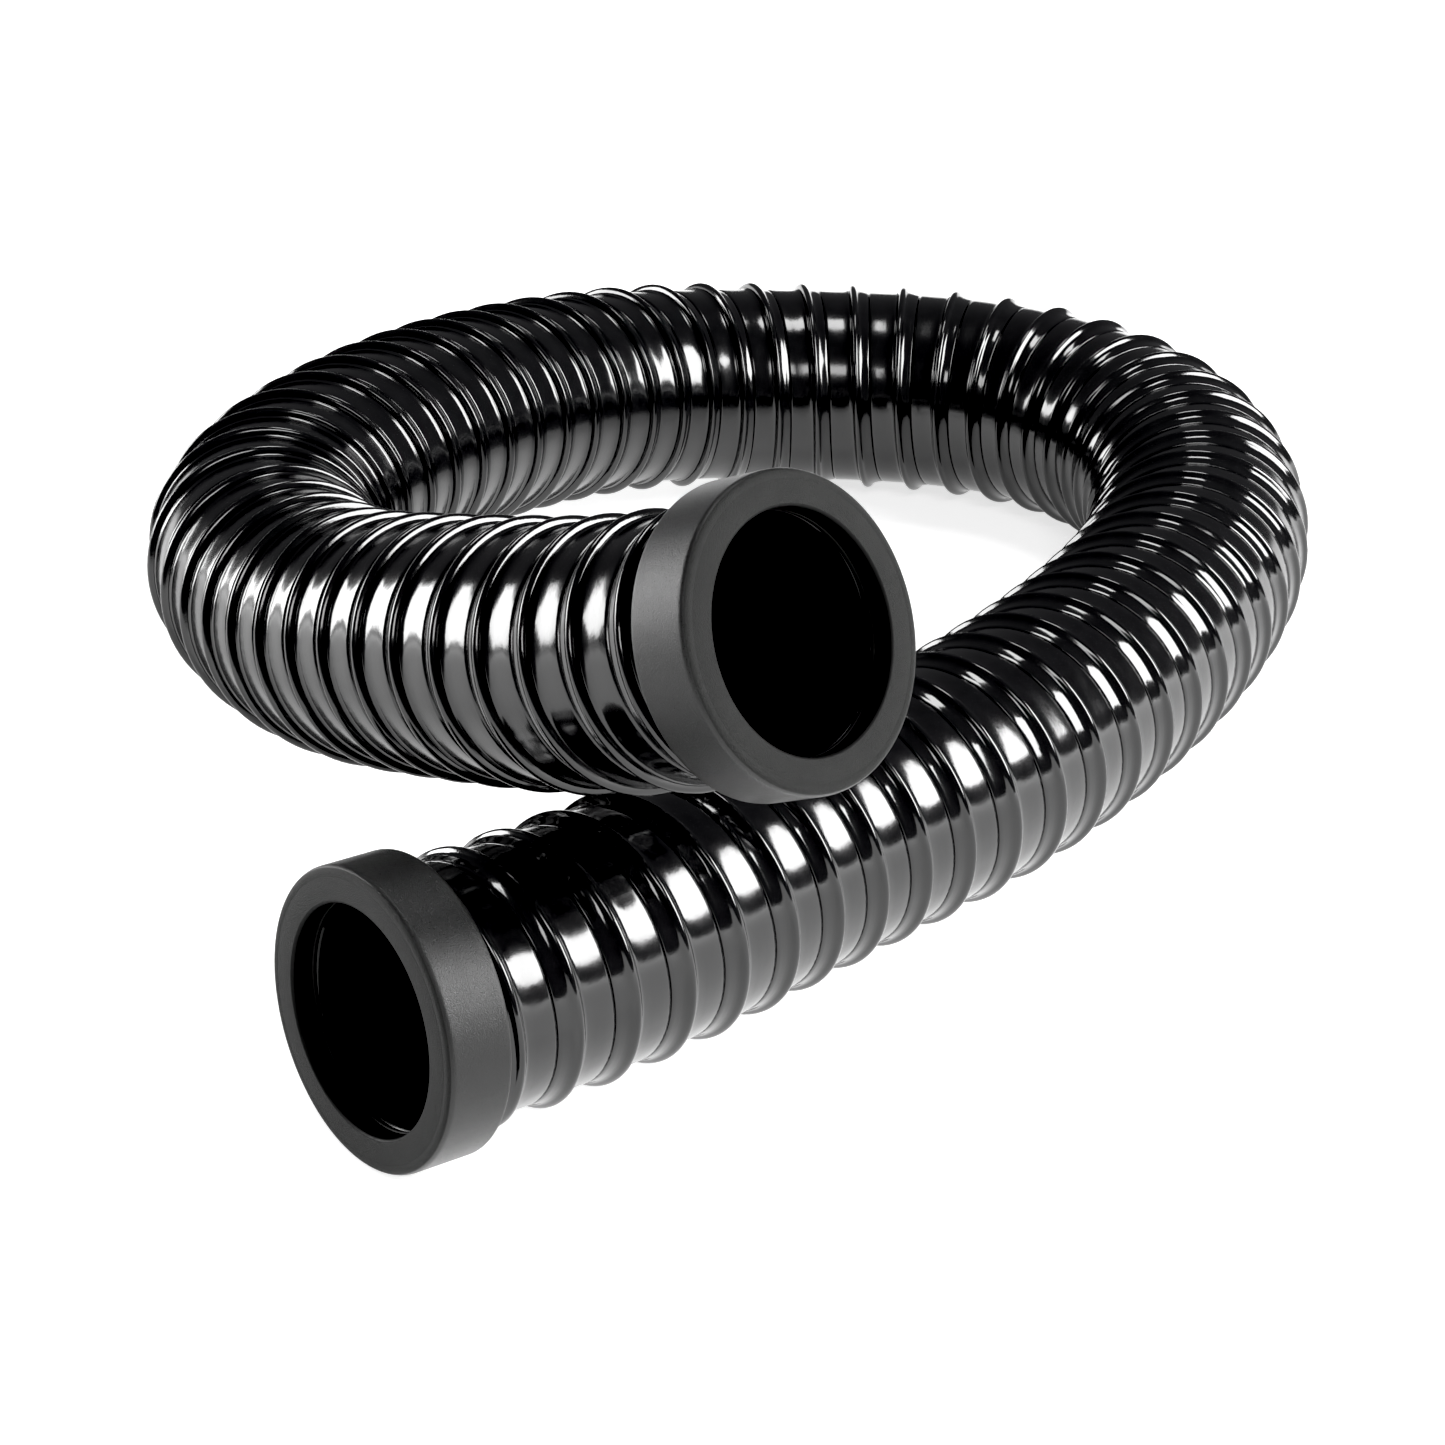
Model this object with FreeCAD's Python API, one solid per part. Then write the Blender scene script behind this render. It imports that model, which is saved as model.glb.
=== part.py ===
import FreeCAD, Part
import math
import os

from FreeCAD import Vector

# Short vacuum hose for pools and spas: a spiral-wound hose with a swivel cuff on each end.
#
# The hose lies in one loop on the floor and its upper end crosses over its lower end.
# All sizes are in millimetres, +Z is up and the floor is z = 0. The origin is on the
# floor under the middle of the object, +X runs to the right and +Y away from the cuffs.
#
# Each end is built round the hose's own end: an inner collar screwed on to the ribs, and
# a cuff that snaps over the collar's bead and turns on it, so the hose never twists.

# ---- driving dimensions -------------------------------------------------------------

HOSE_BORE_R = 19.0           # 38 mm bore, the 1 1/2 inch hose size
WEB_OUTER_R = 20.3           # outside of the flexible wall between the ribs
RIB_CREST_R = 22.5           # outside of the wound rib, 45 mm over the crests

CUFF_OUTER_R = 25.0          # 50 mm over the cuff
CUFF_WALL_FRONT = 3.6        # thickness of the cuff's front wall, along its axis
CUFF_LENGTH = 11.5           # front face to rear edge
CUFF_EDGE_R = 1.2            # rounding of the outer front edge
BORE_EDGE_R = 0.6            # rounding of the mouth of the bore

COLLAR_SLEEVE_R = 23.3       # outside of the collar's sleeve
COLLAR_FRONT = 0.8           # the flange that covers the end of the hose
BEAD_R = 23.9                # snap bead that holds the cuff on
BEAD_WIDTH = 1.6
BEAD_BACK = 3.4              # hose end to the middle of the bead

CLEARANCE = 0.3              # between the cuff and everything it turns on

# The centre line of the hose from the end inside the lower cuff to the end inside the
# upper cuff. The runs between these points are joined by arcs.
ROUTE = [
    (-58, -141, 25.5),
    (-28, -117, 23),
    (9, -78, 22.5),
    (45, -44, 22.5),
    (80, 12, 22.5),
    (95, 60, 22.5),
    (88, 105, 22.5),
    (57, 135, 22.5),
    (4, 142, 22.5),
    (-36, 123, 28),
    (-73, 67, 39),
    (-97, 10, 41),
    (-77, -38, 43.5),
    (-45, -83, 61),
    (-17, -114, 74),
    (4, -132, 86.5),
]

ARC_SHARE = 0.45             # an arc takes this share of the shorter run beside it


# ---- the route ----------------------------------------------------------------------

def unit(a, b):
    """Direction from a to b."""
    return (b - a).normalize()


def rounded_path(points):
    """Straight runs with a tangent arc at each inner point, and the arcs' radii."""
    edges = []
    radii = []
    start = points[0]
    for before, corner, after in zip(points, points[1:], points[2:]):
        incoming = unit(before, corner)
        outgoing = unit(corner, after)
        half_turn = incoming.getAngle(outgoing) / 2
        setback = ARC_SHARE * min(before.distanceToPoint(corner), corner.distanceToPoint(after))
        radius = setback / math.tan(half_turn)
        radii.append(radius)
        arc_start = corner - incoming * setback
        arc_end = corner + outgoing * setback
        # the arc's middle lies between the corner and the centre, one radius from the centre
        inward = (outgoing - incoming).normalize()
        arc_middle = corner + inward * (radius / math.cos(half_turn) - radius)
        edges.append(Part.LineSegment(start, arc_start).toShape())
        edges.append(Part.Arc(arc_start, arc_middle, arc_end).toShape())
        start = arc_end
    edges.append(Part.LineSegment(start, points[-1]).toShape())
    return Part.Wire(edges), radii


def tube(path, start, direction, outer_r, inner_r):
    """A tube of constant section along the path."""
    outer = Part.Wire(Part.makeCircle(outer_r, start, direction))
    inner = Part.Wire(Part.makeCircle(inner_r, start, direction))
    section = Part.makeFace([outer, inner], "Part::FaceMakerBullseye")
    solid = path.makePipe(section)
    exact = section.Area * path.Length
    print("tube r %.1f to %.1f: volume %.0f mm3, section x length %.0f mm3"
          % (inner_r, outer_r, solid.Volume, exact))
    return solid


# ---- the end fittings, drawn on +Z with the end of the hose at z = 0 -------------------

def ring(outer_r, inner_r, low, high):
    """A plain ring about +Z."""
    base = Vector(0, 0, low)
    body = Part.makeCylinder(outer_r, high - low, base)
    return body.cut(Part.makeCylinder(inner_r, high - low, base))


def round_edge(solid, radius, edge_r, height):
    """Round the circular edge of this radius at this height."""
    def is_it(edge):
        curve = edge.Curve
        return (isinstance(curve, Part.Circle) and abs(curve.Radius - edge_r) < 0.01
                and abs(curve.Center.z - height) < 0.01)
    return solid.makeFillet(radius, [edge for edge in solid.Edges if is_it(edge)])


CUFF_BACK = COLLAR_FRONT + CLEARANCE              # rear face of the cuff's front wall
CUFF_FACE = CUFF_BACK + CUFF_WALL_FRONT
CUFF_REAR = CUFF_FACE - CUFF_LENGTH


def cuff():
    """The turning cuff: front wall with the bore, and a skirt over the collar."""
    body = ring(CUFF_OUTER_R, HOSE_BORE_R, CUFF_REAR, CUFF_FACE)
    skirt_room = ring(COLLAR_SLEEVE_R + CLEARANCE, HOSE_BORE_R, CUFF_REAR, CUFF_BACK)
    groove_half = BEAD_WIDTH / 2 + CLEARANCE
    groove = ring(BEAD_R + CLEARANCE, COLLAR_SLEEVE_R, -BEAD_BACK - groove_half, -BEAD_BACK + groove_half)
    body = body.cut(skirt_room).cut(groove)
    body = round_edge(body, CUFF_EDGE_R, CUFF_OUTER_R, CUFF_FACE)
    return round_edge(body, BORE_EDGE_R, HOSE_BORE_R, CUFF_FACE)


def collar():
    """The collar on the end of the hose: sleeve, front flange and snap bead."""
    sleeve = ring(COLLAR_SLEEVE_R, RIB_CREST_R, CUFF_REAR, 0)
    flange = ring(COLLAR_SLEEVE_R, HOSE_BORE_R, 0, COLLAR_FRONT)
    bead = ring(BEAD_R, RIB_CREST_R, -BEAD_BACK - BEAD_WIDTH / 2, -BEAD_BACK + BEAD_WIDTH / 2)
    return sleeve.fuse([flange, bead]).removeSplitter()


def at_hose_end(shape, end, outward):
    """Move a fitting from +Z to an end of the hose, its mouth pointing outward."""
    turn = FreeCAD.Rotation(Vector(0, 0, 1), outward)
    placed = shape.copy()
    placed.Placement = FreeCAD.Placement(end, turn)
    return placed


# ---- build ----------------------------------------------------------------------------

def main():
    os.makedirs("parts", exist_ok=True)
    points = [Vector(*p) for p in ROUTE]
    path, radii = rounded_path(points)
    print("hose length %.1f mm" % path.Length)
    print("bend radii mm:", [round(r) for r in radii])

    lower_end = points[0]
    upper_end = points[-1]
    lower_out = unit(points[1], points[0])
    upper_out = unit(points[-2], points[-1])

    shapes = {
        "hose_web": tube(path, lower_end, lower_out, WEB_OUTER_R, HOSE_BORE_R),
        "hose_rib": tube(path, lower_end, lower_out, RIB_CREST_R, WEB_OUTER_R),
        "lower_collar": at_hose_end(collar(), lower_end, lower_out),
        "lower_cuff": at_hose_end(cuff(), lower_end, lower_out),
        "upper_collar": at_hose_end(collar(), upper_end, upper_out),
        "upper_cuff": at_hose_end(cuff(), upper_end, upper_out),
    }
    for node, shape in shapes.items():
        print("%-13s solids %d valid %s volume %.0f" % (node, len(shape.Solids), shape.isValid(), shape.Volume))
        shape.exportStep("parts/%s.step" % node)

    print("lower cuff axis", lower_out, "face", lower_end + lower_out * CUFF_FACE)
    print("upper cuff axis", upper_out, "face", upper_end + upper_out * CUFF_FACE)
    box = FreeCAD.BoundBox()
    for shape in shapes.values():
        box.add(shape.optimalBoundingBox())
    print("box", box)


main()
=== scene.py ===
import math

import bpy
import numpy as np
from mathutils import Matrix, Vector


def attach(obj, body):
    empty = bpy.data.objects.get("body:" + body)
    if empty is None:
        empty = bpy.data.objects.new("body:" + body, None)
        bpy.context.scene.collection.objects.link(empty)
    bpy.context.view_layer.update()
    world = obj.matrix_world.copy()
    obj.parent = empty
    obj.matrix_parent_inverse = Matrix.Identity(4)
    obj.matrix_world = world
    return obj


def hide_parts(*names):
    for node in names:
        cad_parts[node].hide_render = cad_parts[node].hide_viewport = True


# A short spiral-wound vacuum hose in a loop on the floor, with a swivel cuff on each end.
# The wound wall and the rib on it are two strips that follow one winding, and each cuff
# and collar is turned from its section. Lengths are in metres.

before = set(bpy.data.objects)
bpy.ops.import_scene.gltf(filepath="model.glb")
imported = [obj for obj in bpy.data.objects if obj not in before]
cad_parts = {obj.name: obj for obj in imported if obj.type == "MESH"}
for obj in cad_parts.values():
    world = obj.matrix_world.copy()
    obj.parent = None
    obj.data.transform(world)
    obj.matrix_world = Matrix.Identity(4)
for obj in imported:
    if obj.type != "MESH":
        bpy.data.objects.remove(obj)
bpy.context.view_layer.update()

# ---- sizes of the fittings and the hose, as in the CAD -------------------------------------

HOSE_BORE_R = 0.0190
RIB_CREST_R = 0.0225
CUFF_OUTER_R = 0.0250
CUFF_WALL_FRONT = 0.0036
CUFF_LENGTH = 0.0115
CUFF_EDGE_R = 0.0012
BORE_EDGE_R = 0.0006
COLLAR_SLEEVE_R = 0.0233
COLLAR_FRONT = 0.0008
BEAD_R = 0.0239
BEAD_WIDTH = 0.0016
BEAD_BACK = 0.0034
CLEARANCE = 0.0003

CUFF_BACK = COLLAR_FRONT + CLEARANCE
CUFF_FACE = CUFF_BACK + CUFF_WALL_FRONT
CUFF_REAR = CUFF_FACE - CUFF_LENGTH

# the route of the hose, from the end in the lower cuff to the end in the upper cuff
ROUTE = [
    (-0.058, -0.141, 0.0255),
    (-0.028, -0.117, 0.023),
    (0.009, -0.078, 0.0225),
    (0.045, -0.044, 0.0225),
    (0.080, 0.012, 0.0225),
    (0.095, 0.060, 0.0225),
    (0.088, 0.105, 0.0225),
    (0.057, 0.135, 0.0225),
    (0.004, 0.142, 0.0225),
    (-0.036, 0.123, 0.028),
    (-0.073, 0.067, 0.039),
    (-0.097, 0.010, 0.041),
    (-0.077, -0.038, 0.0435),
    (-0.045, -0.083, 0.061),
    (-0.017, -0.114, 0.074),
    (0.004, -0.132, 0.0865),
]

# ---- the winding ---------------------------------------------------------------------------

PITCH = 0.01115                     # from one crest to the next
CREST_SHARE = 0.90                  # where in a turn the crest stands, from 0 to 1
CREST_AT = 0.0317                   # a crest passes here along the hose ...
CREST_ANGLE = math.radians(54.8)    # ... at this angle round it, measured from the top

WALL_PER_TURN = 64                  # steps round the hose for the wall
RIB_PER_TURN = 80                   # steps round the hose for the rib
RIB_INSET = 0.0002                  # the rib stops this far inside the ends of the hose
LINE_RESOLUTION = 40                # points read from the smooth line for each route point

# share of the turn, outer radius and inner radius in mm: a short hollow behind the crest, a
# wide level land, then a step down under the rib in front
WALL_SECTION = [
    (0.00, 21.40, 19.25),
    (0.02, 21.24, 19.10),
    (0.05, 21.08, 19.02),
    (0.09, 21.00, 19.00),
    (0.22, 20.98, 19.00),
    (0.38, 20.99, 19.00),
    (0.52, 21.00, 19.02),
    (0.565, 20.95, 19.05),
    (0.575, 20.45, 19.10),
    (0.62, 20.00, 19.35),
    (0.96, 20.00, 19.35),
]

# share of the turn and radius in mm, once round the rib: a ramp, the raised crest and the
# steep flank behind it, then back under the rib
RIB_SECTION = [
    (0.585, 20.45),
    (0.588, 20.88),
    (0.600, 20.98),
    (0.66, 21.10),
    (0.74, 21.32),
    (0.80, 21.58),
    (0.825, 21.86),
    (0.845, 22.20),
    (0.870, 22.44),
    (0.900, 22.50),
    (0.930, 22.44),
    (0.955, 22.18),
    (0.970, 21.70),
    (0.982, 20.95),
    (0.992, 20.40),
    (0.985, 20.06),
    (0.75, 20.06),
    (0.60, 20.06),
]


# ---- the camera ----------------------------------------------------------------------------

CAMERA_AT = (-0.0051, -0.6391, 0.3212)
CAMERA_DIP = 26.19                  # degrees below level
CAMERA_LENS = 92.2                  # focal length in mm ...
CAMERA_SENSOR = 36.0                # ... for a sensor this wide


def add_camera():
    """The photographed view: from the front, looking down."""
    data = bpy.data.cameras.new("camera")
    data.lens = CAMERA_LENS
    data.sensor_width = CAMERA_SENSOR
    camera = bpy.data.objects.new("camera", data)
    camera.location = CAMERA_AT
    camera.rotation_euler = (math.radians(90 - CAMERA_DIP), 0, 0)
    bpy.context.scene.collection.objects.link(camera)
    bpy.context.scene.camera = camera


# ---- the line of the hose ------------------------------------------------------------------

def route_points():
    """Points along the smooth line through the route."""
    curve = bpy.data.curves.new("route", "CURVE")
    curve.dimensions = "3D"
    spline = curve.splines.new("NURBS")
    spline.points.add(len(ROUTE) - 1)
    for point, place in zip(spline.points, ROUTE):
        point.co = (*place, 1)
    spline.order_u = 3
    spline.use_endpoint_u = True
    spline.resolution_u = LINE_RESOLUTION
    holder = bpy.data.objects.new("route", curve)
    mesh = bpy.data.meshes.new_from_object(holder)
    points = np.array([vertex.co for vertex in mesh.vertices])
    bpy.data.objects.remove(holder)
    bpy.data.curves.remove(curve)
    bpy.data.meshes.remove(mesh)
    return points


def unit_rows(rows):
    """Each row at length one."""
    return rows / np.linalg.norm(rows, axis=1)[:, None]


class HoseLine:
    """The centre line with a frame that doesn't twist along it."""

    def __init__(self, points):
        steps = np.linalg.norm(np.diff(points, axis=0), axis=1)
        self.points = points
        self.at = np.concatenate([[0], np.cumsum(steps)])
        self.length = self.at[-1]
        self.along = unit_rows(np.gradient(points, self.at, axis=0))
        top = np.zeros_like(points)
        carried = np.array([0.0, 0.0, 1.0])
        for i, direction in enumerate(self.along):
            carried = carried - carried.dot(direction) * direction
            carried = carried / np.linalg.norm(carried)
            top[i] = carried
        self.top = top
        self.side = np.cross(self.along, top)

    def read(self, rows, at):
        """Values of a table along the line, at these distances along it."""
        return np.stack([np.interp(at, self.at, rows[:, k]) for k in range(3)], axis=-1)

    def place(self, at, angle, radius):
        """Points at these distances along the hose, angles round it and radii."""
        out = (self.read(self.top, at) * np.cos(angle)[..., None]
               + self.read(self.side, at) * np.sin(angle)[..., None])
        return self.read(self.points, at) + out * radius[..., None]


def winding(line, shares, per_turn):
    """Distance along the hose and angle round it, for each step of the winding and share.

    The winding starts more than one turn before the hose and ends more than one after it.
    """
    start = CREST_AT - PITCH * (CREST_ANGLE / (2 * math.pi) + CREST_SHARE)
    start = start - PITCH * (math.ceil(start / PITCH) + 1)
    turns = math.ceil((line.length - start) / PITCH) + 1
    angle = np.arange(turns * per_turn + 1) * 2 * math.pi / per_turn
    at = start + PITCH * (angle / (2 * math.pi))[:, None] + PITCH * np.array(shares)[None, :]
    return at, np.repeat(angle[:, None], len(shares), axis=1)


# ---- the wound pieces ----------------------------------------------------------------------

LINING_SLOT = 1                     # material slot of the inside of the hose and of a mouth
FACE_SLOT = 2                       # material slot of a cuff's front face


def mesh_object(name, vertices, faces, material, body):
    """A smooth-shaded piece that rides on a body."""
    mesh = bpy.data.meshes.new(name)
    mesh.from_pydata([tuple(v) for v in vertices], [], faces)
    mesh.validate()
    mesh.materials.append(material)
    mesh.polygons.foreach_set("use_smooth", [True] * len(mesh.polygons))
    piece = bpy.data.objects.new(name, mesh)
    bpy.context.scene.collection.objects.link(piece)
    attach(piece, body)
    return piece


def drop_unused(points, faces):
    """Leave out the vertices that no face uses."""
    used = np.zeros(len(points), dtype=bool)
    used[np.array([corner for face in faces for corner in face])] = True
    new_index = np.cumsum(used) - 1
    faces = [[int(new_index[corner]) for corner in face] for face in faces]
    return points[used], faces


def strip_faces(at, length):
    """Faces of the wound wall: each turn's last row joins the first row of the next turn."""
    steps, rows = at.shape
    flat_at = at.reshape(-1)
    faces = []
    for step in range(steps - 1):
        for row in range(rows):
            if row < rows - 1:
                far = (step + 1) * rows + row + 1
                near = step * rows + row + 1
            elif step + 1 + WALL_PER_TURN < steps:
                far = (step + 1 + WALL_PER_TURN) * rows
                near = (step + WALL_PER_TURN) * rows
            else:
                continue
            face = (step * rows + row, (step + 1) * rows + row, far, near)
            lowest = min(flat_at[corner] for corner in face)
            highest = max(flat_at[corner] for corner in face)
            if highest > 0 and lowest < length:
                faces.append(face)
    return faces


def rim_edges(faces):
    """The edges that only one face has."""
    edges = {(a, b): True for face in faces for a, b in zip(face, face[1:] + face[:1])}
    return [(a, b) for a, b in edges if (b, a) not in edges]


def add_wall(line, material, lining):
    """The flexible wall: the outside and the inside of the wound strip, closed at both ends.

    Within half a turn of the ends the bore is plain, to meet the flanges of the collars.
    """
    shares = [share for share, _, _ in WALL_SECTION]
    outer_r = np.array([outer for _, outer, _ in WALL_SECTION]) / 1000
    inner_r = np.array([inner for _, _, inner in WALL_SECTION]) / 1000
    at, angle = winding(line, shares, WALL_PER_TURN)
    at = np.clip(at, 0, line.length)
    outer = line.place(at, angle, np.broadcast_to(outer_r, at.shape)).reshape(-1, 3)
    near_end = np.minimum(at, line.length - at) < 0.5 * PITCH
    inside_r = np.where(near_end, HOSE_BORE_R, inner_r)
    inner = line.place(at, angle, inside_r).reshape(-1, 3)

    outside = strip_faces(at, line.length)
    count = len(outer)
    inside = [tuple(corner + count for corner in reversed(face)) for face in outside]
    ends = [(b, a, a + count, b + count) for a, b in rim_edges(outside)]
    points, faces = drop_unused(np.concatenate([outer, inner]), outside + inside + ends)
    piece = mesh_object("hose_wall", points, faces, material, "hose")
    piece.data.materials.append(lining)
    for face in piece.data.polygons[len(outside):]:
        face.material_index = LINING_SLOT
    return piece


def add_rib(line, material):
    """The stiff rib wound on the wall, as one long closed strip."""
    shares = [share for share, _ in RIB_SECTION]
    radii = np.array([radius for _, radius in RIB_SECTION]) / 1000
    at, angle = winding(line, shares, RIB_PER_TURN)
    whole = (at.min(axis=1) > RIB_INSET) & (at.max(axis=1) < line.length - RIB_INSET)
    at = at[whole]
    angle = angle[whole]
    steps, rows = at.shape
    points = line.place(at, angle, np.broadcast_to(radii, at.shape)).reshape(-1, 3)
    faces = []
    for step in range(steps - 1):
        for row in range(rows):
            after = (row + 1) % rows
            faces.append((step * rows + row, (step + 1) * rows + row,
                          (step + 1) * rows + after, step * rows + after))
    faces.append(tuple(range(rows)))
    faces.append(tuple(reversed(range((steps - 1) * rows, steps * rows))))
    return mesh_object("hose_rib_winding", points, faces, material, "hose")


# ---- turned pieces -------------------------------------------------------------------------

AROUND = 160                        # steps round a turned piece


def corner(centre_z, centre_r, radius, start, end, steps=6):
    """Points of a rounded corner in a section, between two angles in degrees."""
    return [(centre_z + radius * math.sin(math.radians(start + (end - start) * k / steps)),
             centre_r + radius * math.cos(math.radians(start + (end - start) * k / steps)))
            for k in range(steps + 1)]


def turned(name, section, origin, axis, material, body):
    """A closed section of (distance along the axis, radius) turned about the axis."""
    axis = Vector(axis).normalized()
    turn = Vector((0, 0, 1)).rotation_difference(axis)
    vertices = []
    for step in range(AROUND):
        angle = 2 * math.pi * step / AROUND
        for z, r in section:
            local = Vector((r * math.cos(angle), r * math.sin(angle), z))
            vertices.append(Vector(origin) + turn @ local)
    rows = len(section)
    faces = []
    for step in range(AROUND):
        after_step = (step + 1) % AROUND
        for row in range(rows):
            after = (row + 1) % rows
            faces.append((step * rows + row, after_step * rows + row,
                          after_step * rows + after, step * rows + after))
    return mesh_object(name, vertices, faces, material, body)


def cuff_section():
    """The cuff from the mouth of its bore, out over the front face and back inside.

    A point on the flat beside each rounded edge keeps the flat evenly shaded.
    """
    rear_edge = 0.0004
    mould_line_r = CUFF_OUTER_R - CUFF_EDGE_R - 0.0006
    mould_line_half = 0.00012
    mould_line_depth = 0.00004
    groove_half = BEAD_WIDTH / 2 + CLEARANCE
    skirt_r = COLLAR_SLEEVE_R + CLEARANCE
    section = [(CUFF_BACK, HOSE_BORE_R)]
    section += [(CUFF_FACE - 1.6 * BORE_EDGE_R, HOSE_BORE_R)]
    section += corner(CUFF_FACE - BORE_EDGE_R, HOSE_BORE_R + BORE_EDGE_R, BORE_EDGE_R, 180, 90)
    section += [(CUFF_FACE, HOSE_BORE_R + 3 * BORE_EDGE_R)]
    section += [(CUFF_FACE, mould_line_r - mould_line_half)]
    section += [(CUFF_FACE - mould_line_depth, mould_line_r)]
    section += [(CUFF_FACE, mould_line_r + mould_line_half)]
    section += corner(CUFF_FACE - CUFF_EDGE_R, CUFF_OUTER_R - CUFF_EDGE_R, CUFF_EDGE_R, 90, 0, 10)
    section += [(CUFF_FACE - 1.4 * CUFF_EDGE_R, CUFF_OUTER_R)]
    section += [(CUFF_REAR + 2 * rear_edge, CUFF_OUTER_R)]
    section += corner(CUFF_REAR + rear_edge, CUFF_OUTER_R - rear_edge, rear_edge, 0, -90, 4)
    section += [(CUFF_REAR, skirt_r)]
    section += [(-BEAD_BACK - groove_half, skirt_r)]
    section += [(-BEAD_BACK - groove_half, BEAD_R + CLEARANCE)]
    section += [(-BEAD_BACK + groove_half, BEAD_R + CLEARANCE)]
    section += [(-BEAD_BACK + groove_half, skirt_r)]
    section += [(CUFF_BACK, skirt_r)]
    return section[::-1]


def finish_cuff(cuff, origin, axis, bore_lining, face_rubber_painted_shade):
    """Give the mouth of the bore its black lining, and the front face its coarser grain and a
    darker colour that paints shade on it.
    """
    cuff.data.materials.append(bore_lining)
    cuff.data.materials.append(face_rubber_painted_shade)
    axis = Vector(axis).normalized()
    lining_r = HOSE_BORE_R + 0.8 * BORE_EDGE_R
    face_start = CUFF_FACE - 0.3 * CUFF_EDGE_R
    for face in cuff.data.polygons:
        arm = face.center - Vector(origin)
        radius = (arm - arm.dot(axis) * axis).length
        if radius < lining_r:
            face.material_index = LINING_SLOT
        elif arm.dot(axis) > face_start:
            face.material_index = FACE_SLOT


def collar_section():
    """The collar: flange over the hose's end, sleeve over the ribs and the snap bead."""
    bead_half = BEAD_WIDTH / 2
    return [
        (0, RIB_CREST_R),
        (0, HOSE_BORE_R),
        (COLLAR_FRONT, HOSE_BORE_R),
        (COLLAR_FRONT, COLLAR_SLEEVE_R),
        (-BEAD_BACK + bead_half, COLLAR_SLEEVE_R),
        (-BEAD_BACK + bead_half / 2, BEAD_R),
        (-BEAD_BACK - bead_half / 2, BEAD_R),
        (-BEAD_BACK - bead_half, COLLAR_SLEEVE_R),
        (CUFF_REAR, COLLAR_SLEEVE_R),
        (CUFF_REAR, RIB_CREST_R),
    ][::-1]


# ---- materials -----------------------------------------------------------------------------

# how many noise features there are in a metre
HAZE_SCALE = 260                    # duller patches on the hose
WAVE_SCALE = 95                     # unevenness of the hose
HOSE_GRAIN_SCALE = 1400
MOTTLE_SCALE = 120                  # lighter and darker rubber
CUFF_GRAIN_SCALE = 5200
LINING_GRAIN_SCALE = 1500
COLLAR_GRAIN_SCALE = 1800

HOSE_GRAIN_DEPTH = 0.00002
HOSE_GRAIN_STRENGTH = 0.35
HOSE_IOR = 1.56


def new_material(name):
    """A material with its node tree, Principled shader and object coordinates."""
    material = bpy.data.materials.new(name)
    material.use_nodes = True
    nodes = material.node_tree.nodes
    links = material.node_tree.links
    shader = nodes["Principled BSDF"]
    coordinates = nodes.new("ShaderNodeTexCoord")
    return material, nodes, links, shader, coordinates


def noise(nodes, links, coordinates, scale, detail=4.0, roughness=0.5):
    """Noise in object space."""
    texture = nodes.new("ShaderNodeTexNoise")
    texture.inputs["Scale"].default_value = scale
    texture.inputs["Detail"].default_value = detail
    texture.inputs["Roughness"].default_value = roughness
    links.new(coordinates.outputs["Object"], texture.inputs["Vector"])
    return texture.outputs["Fac"]


def ramp(nodes, links, source, stops):
    """A colour ramp with (position, colour) stops."""
    node = nodes.new("ShaderNodeValToRGB")
    elements = node.color_ramp.elements
    while len(elements) < len(stops):
        elements.new(0.5)
    for element, (position, colour) in zip(elements, stops):
        element.position = position
        element.color = (*colour, 1)
    links.new(source, node.inputs["Fac"])
    return node.outputs["Color"]


def value_range(nodes, links, source, low, high, to_low, to_high):
    """The source's span from low to high, spread over another span."""
    node = nodes.new("ShaderNodeMapRange")
    node.inputs["From Min"].default_value = low
    node.inputs["From Max"].default_value = high
    node.inputs["To Min"].default_value = to_low
    node.inputs["To Max"].default_value = to_high
    links.new(source, node.inputs["Value"])
    return node.outputs["Result"]


def bump(nodes, links, height, distance, strength, under=None):
    """A bumped normal, on top of another one if there is one."""
    node = nodes.new("ShaderNodeBump")
    node.inputs["Strength"].default_value = strength
    node.inputs["Distance"].default_value = distance
    links.new(height, node.inputs["Height"])
    if under is not None:
        links.new(under, node.inputs["Normal"])
    return node.outputs["Normal"]


def hose_material(name, base, roughness, ripple):
    """Glossy black PVC: a faint unevenness, fine extrusion haze and duller patches."""
    material, nodes, links, shader, coordinates = new_material(name)
    lighter = [1.7 * channel for channel in base]
    haze = noise(nodes, links, coordinates, HAZE_SCALE, 5.0, 0.6)
    links.new(ramp(nodes, links, haze, [(0.35, base), (0.75, lighter)]),
              shader.inputs["Base Color"])
    links.new(value_range(nodes, links, haze, 0.35, 0.75, roughness, roughness + 0.05),
              shader.inputs["Roughness"])
    waves = noise(nodes, links, coordinates, WAVE_SCALE, 2.0)
    grain = noise(nodes, links, coordinates, HOSE_GRAIN_SCALE, 3.0)
    wavy = bump(nodes, links, waves, ripple, 1.0)
    grainy = bump(nodes, links, grain, HOSE_GRAIN_DEPTH, HOSE_GRAIN_STRENGTH, wavy)
    links.new(grainy, shader.inputs["Normal"])
    shader.inputs["IOR"].default_value = HOSE_IOR
    return material


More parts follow.
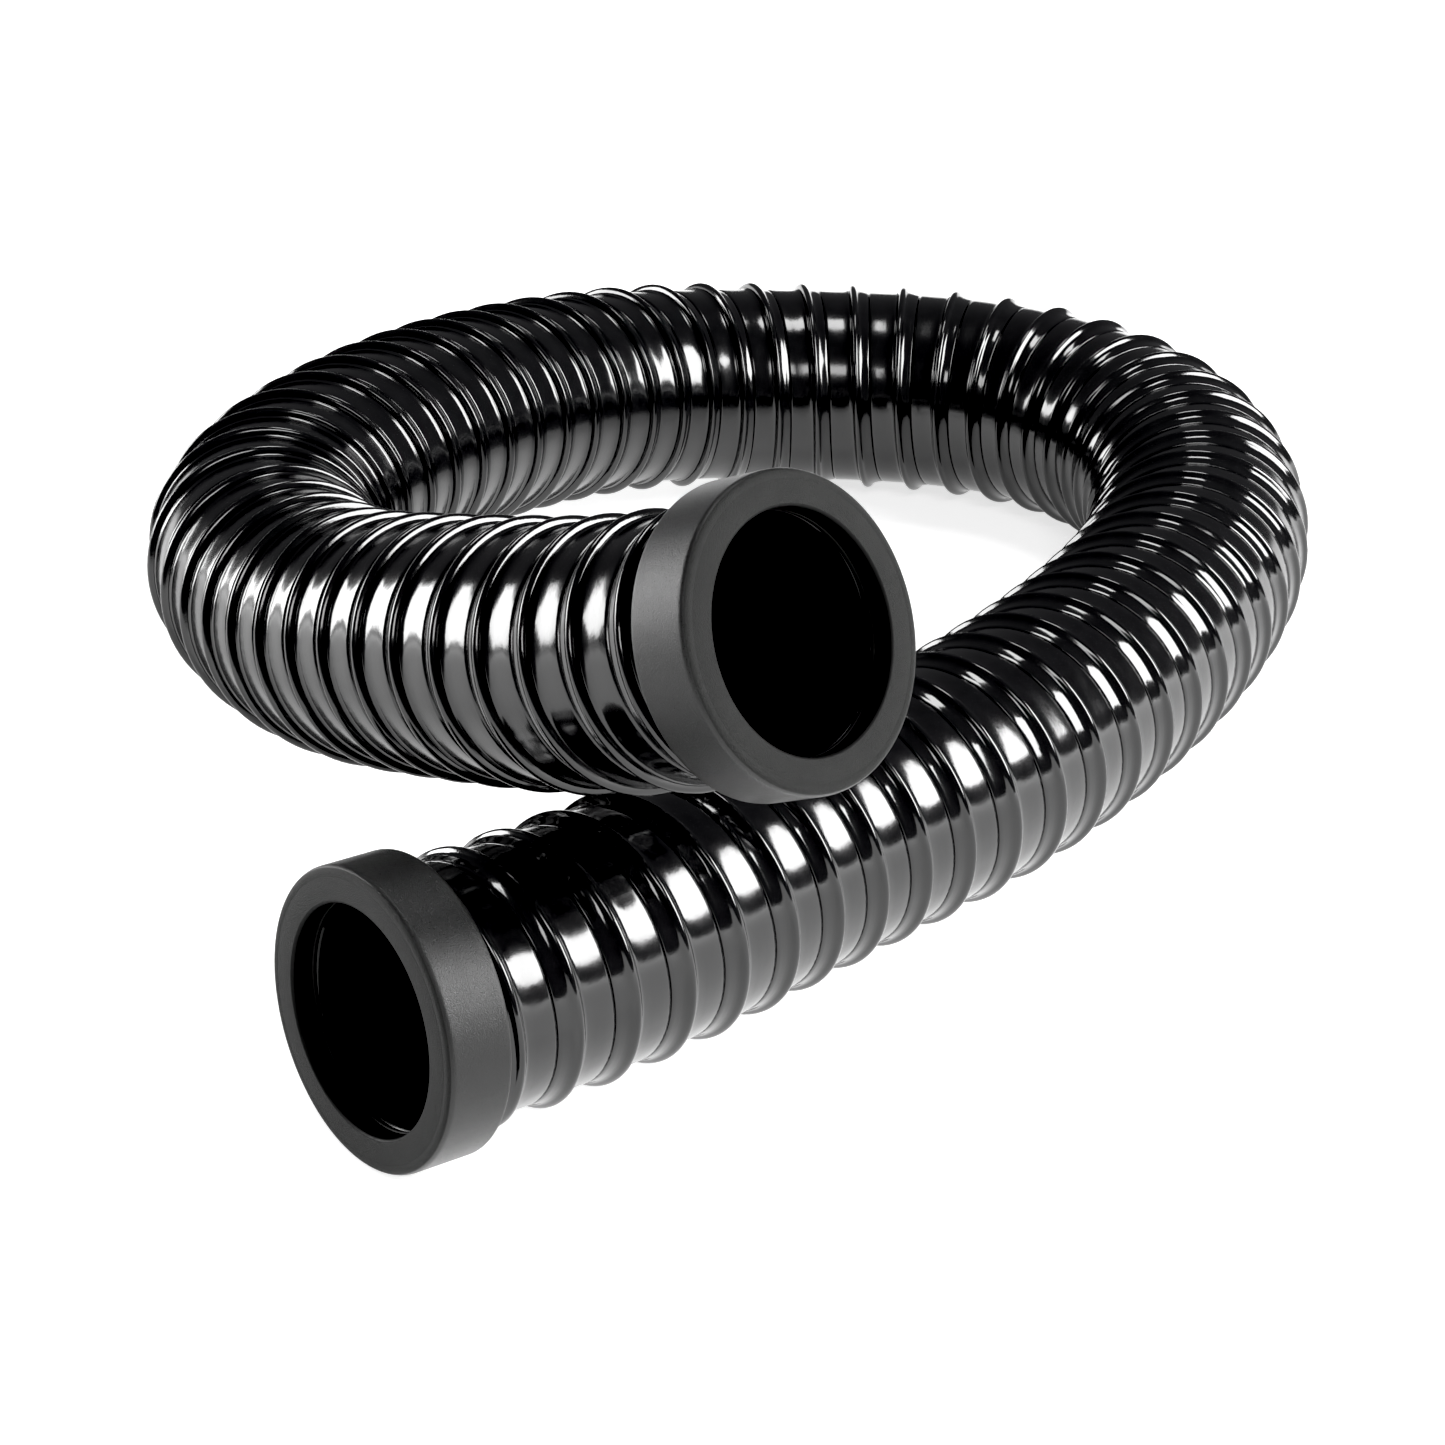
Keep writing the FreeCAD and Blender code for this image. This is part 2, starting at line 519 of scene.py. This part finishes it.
def cuff_material(name, darkest, lightest, smoothest, roughest, grain_depth, ior):
    """Charcoal moulded rubber with a fine spark-eroded grain."""
    material, nodes, links, shader, coordinates = new_material(name)
    mottle = noise(nodes, links, coordinates, MOTTLE_SCALE, 4.0)
    links.new(ramp(nodes, links, mottle, [(0.3, darkest), (0.7, lightest)]),
              shader.inputs["Base Color"])
    grain = noise(nodes, links, coordinates, CUFF_GRAIN_SCALE, 2.0, 0.7)
    links.new(value_range(nodes, links, grain, 0.3, 0.7, smoothest, roughest),
              shader.inputs["Roughness"])
    links.new(bump(nodes, links, grain, grain_depth, 1.0), shader.inputs["Normal"])
    shader.inputs["IOR"].default_value = ior
    return material


def black_material(name, smoothest, roughest, specular, grain_scale, grain_depth):
    """Black plastic with little shine: inside the hose, in the cuffs' mouths and the collars."""
    material, nodes, links, shader, coordinates = new_material(name)
    shader.inputs["Base Color"].default_value = (0.004, 0.004, 0.004, 1)
    grain = noise(nodes, links, coordinates, grain_scale, 3.0)
    links.new(value_range(nodes, links, grain, 0.3, 0.7, smoothest, roughest),
              shader.inputs["Roughness"])
    links.new(bump(nodes, links, grain, grain_depth, 0.4), shader.inputs["Normal"])
    shader.inputs["Specular IOR Level"].default_value = specular
    return material


# ---- floor, lights, world and view ---------------------------------------------------------

BLACK_LEVEL = 0.009                 # brightness that shows as full black

FLOOR_SIZE = 60
NEAR_DISTANCE = 0.20                # within this the floor has its near glow ...
FAR_DISTANCE = 0.75                 # ... and beyond this its far glow
NEAR_GLOW = 0.72
FAR_GLOW = 1.1


def add_floor():
    """A plain white floor that glows like a lit backdrop, a little less round the hose."""
    bpy.ops.mesh.primitive_plane_add(size=FLOOR_SIZE, location=(0, 0, 0))
    floor = bpy.context.object
    floor.name = "floor"
    material, nodes, links, shader, coordinates = new_material("floor_white")
    shader.inputs["Base Color"].default_value = (0.80, 0.80, 0.80, 1)
    shader.inputs["Roughness"].default_value = 0.7
    shader.inputs["Specular IOR Level"].default_value = 0.0
    shader.inputs["Emission Color"].default_value = (1, 1, 1, 1)
    distance = nodes.new("ShaderNodeVectorMath")
    distance.operation = "LENGTH"
    links.new(coordinates.outputs["Object"], distance.inputs[0])
    glow = value_range(nodes, links, distance.outputs["Value"],
                       NEAR_DISTANCE, FAR_DISTANCE, NEAR_GLOW, FAR_GLOW)
    links.new(glow, shader.inputs["Emission Strength"])
    floor.data.materials.append(material)


def add_softbox(name, centre, width, height, power):
    """A rectangular area light that faces the hose, with its power in watts."""
    data = bpy.data.lights.new(name, "AREA")
    data.shape = "RECTANGLE"
    data.size = width
    data.size_y = height
    data.energy = power
    light = bpy.data.objects.new(name, data)
    light.location = centre
    middle_of_hose = Vector((0, 0, 0.03))
    aim = middle_of_hose - Vector(centre)
    light.rotation_euler = aim.to_track_quat("-Z", "Y").to_euler()
    bpy.context.scene.collection.objects.link(light)


def add_lights():
    """Softboxes on the right and, weaker, on the left, and small ones in front and above."""
    add_softbox("softbox_right", (1.08, -0.17, 0.66), 0.75, 0.75, 36)
    add_softbox("softbox_left", (-1.12, 0.4, 0.28), 0.7, 0.42, 13)
    add_softbox("softbox_front", (0.0, -1.25, 1.15), 0.7, 0.35, 7)
    add_softbox("softbox_top", (0.1, 0.35, 1.3), 0.35, 0.35, 5)


def add_world():
    """The same dim light from all sides."""
    world = bpy.data.worlds.new("studio")
    world.use_nodes = True
    background = world.node_tree.nodes["Background"]
    background.inputs["Color"].default_value = (0.12, 0.12, 0.124, 1)
    background.inputs["Strength"].default_value = 1.0
    bpy.context.scene.world = world


def set_view():
    """Plain tones with a small black level, for the photograph's hard blacks."""
    view = bpy.context.scene.view_settings
    view.view_transform = "Standard"
    view.use_curve_mapping = True
    view.curve_mapping.black_level = (BLACK_LEVEL, BLACK_LEVEL, BLACK_LEVEL)
    view.curve_mapping.update()


# ---- build -----------------------------------------------------------------------------------

def add_hose(line):
    """The wall and the rib wound on it."""
    wall_pvc = hose_material("wall_pvc", base=(0.0022, 0.0022, 0.0024), roughness=0.12,
                             ripple=0.00012)
    rib_pvc = hose_material("rib_pvc", base=(0.0025, 0.0025, 0.0027), roughness=0.08,
                            ripple=0.0001)
    hose_lining = black_material("hose_lining", smoothest=0.16, roughest=0.26, specular=0.22,
                                 grain_scale=LINING_GRAIN_SCALE, grain_depth=0.00002)
    wall = add_wall(line, wall_pvc, hose_lining)
    rib = add_rib(line, rib_pvc)
    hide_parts("hose_web")
    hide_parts("hose_rib")
    return wall, rib


def add_fittings():
    """A collar and a cuff on each end of the hose, by the name of the end."""
    cuff_rubber = cuff_material("cuff_rubber", darkest=(0.0050, 0.0051, 0.0050),
                                lightest=(0.0085, 0.0087, 0.0084), smoothest=0.26,
                                roughest=0.34, grain_depth=0.00008, ior=1.44)
    # the front face: a coarser grain and a duller finish, and a base colour darker than the rest
    # of the cuff, which is painted shade
    face_rubber_painted_shade = cuff_material("cuff_face_painted_shade", darkest=(0.0030, 0.0032, 0.0029),
                                lightest=(0.0060, 0.0063, 0.0058), smoothest=0.46,
                                roughest=0.60, grain_depth=0.00022, ior=1.31)
    bore_lining = black_material("bore_lining", smoothest=0.45, roughest=0.60, specular=0.12,
                                 grain_scale=LINING_GRAIN_SCALE, grain_depth=0.00002)
    collar_plastic = black_material("collar_plastic", smoothest=0.45, roughest=0.60, specular=0.12,
                                    grain_scale=COLLAR_GRAIN_SCALE, grain_depth=0.00003)
    ends = {
        "lower": (ROUTE[0], Vector(ROUTE[0]) - Vector(ROUTE[1])),
        "upper": (ROUTE[-1], Vector(ROUTE[-1]) - Vector(ROUTE[-2])),
    }
    fittings = {}
    for end, (origin, outward) in ends.items():
        collar = turned(end + "_collar_ring", collar_section(), origin, outward, collar_plastic,
                        "hose")
        cuff = turned(end + "_cuff_shell", cuff_section(), origin, outward, cuff_rubber,
                      end + "_cuff")
        finish_cuff(cuff, origin, outward, bore_lining, face_rubber_painted_shade)
        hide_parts(end + "_collar")
        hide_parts(end + "_cuff")
        fittings[end] = [collar, cuff]
    return fittings


def main():
    add_camera()
    line = HoseLine(route_points())
    wall, rib = add_hose(line)
    fittings = add_fittings()

    add_floor()
    add_lights()
    add_world()
    set_view()


main()
